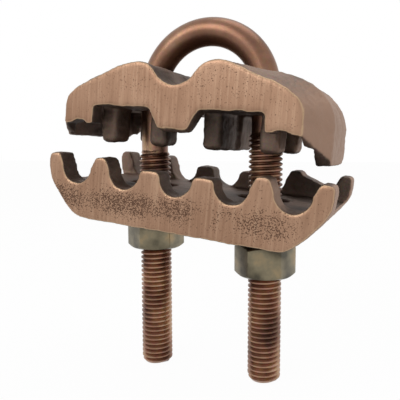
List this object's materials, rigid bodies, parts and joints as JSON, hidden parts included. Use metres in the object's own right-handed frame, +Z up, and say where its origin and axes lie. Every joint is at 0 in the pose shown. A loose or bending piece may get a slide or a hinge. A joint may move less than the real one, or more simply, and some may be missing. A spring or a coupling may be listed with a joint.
{
  "type": "earth rod clamp",
  "caption": "Clamp that joins earthing conductors to an earth rod: a threaded U-bolt holds two toothed cast jaws, drawn together by hexagon nuts.",
  "frame": {"origin": "centre of the U-bolt's bend, where the earth rod passes", "axes": "+Z up along the legs towards the bend, Y along the earth rod, X across the two legs"},
  "size_m": [0.0834, 0.0476, 0.11],
  "materials": {
    "cast_bronze": "sand-cast bronze, faces ground, the rest as cast",
    "coppered_rod": "bronze rod with rolled threads, lightly tarnished",
    "nut_plating": "machined hexagon nut, bright with brown faces"
  },
  "bodies": {
    "u_bolt": {"u_bolt": "coppered_rod"},
    "upper_jaw": {"upper_jaw": "cast_bronze"},
    "lower_jaw": {"lower_jaw": "cast_bronze"},
    "left_nut": {"left_nut": "nut_plating"},
    "right_nut": {"right_nut": "nut_plating"}
  },
  "joints": [
    {"name": "upper_jaw_slide", "type": "slide", "parent": "u_bolt", "child": "upper_jaw", "axis": [0, 0, 1], "range_m": [-0.002, 0]},
    {"name": "lower_jaw_travel", "type": "slide", "parent": "u_bolt", "child": "lower_jaw", "axis": [0, 0, 1], "range_m": [-0.03, 0.0025]},
    {"name": "left_nut_turn", "type": "hinge", "parent": "lower_jaw", "child": "left_nut", "pos_m": [-0.0184, 0, -0.045], "axis": [0, 0, 1], "range_deg": [-7300, 620]},
    {"name": "right_nut_turn", "type": "hinge", "parent": "lower_jaw", "child": "right_nut", "pos_m": [0.0184, 0, -0.05], "axis": [0, 0, 1], "range_deg": [-7300, 620]}
  ],
  "couplings": [
    {"joint": "left_nut_turn", "follows": "lower_jaw_travel", "rad_per_m": 4188.8},
    {"joint": "right_nut_turn", "follows": "lower_jaw_travel", "rad_per_m": 4188.8}
  ]
}
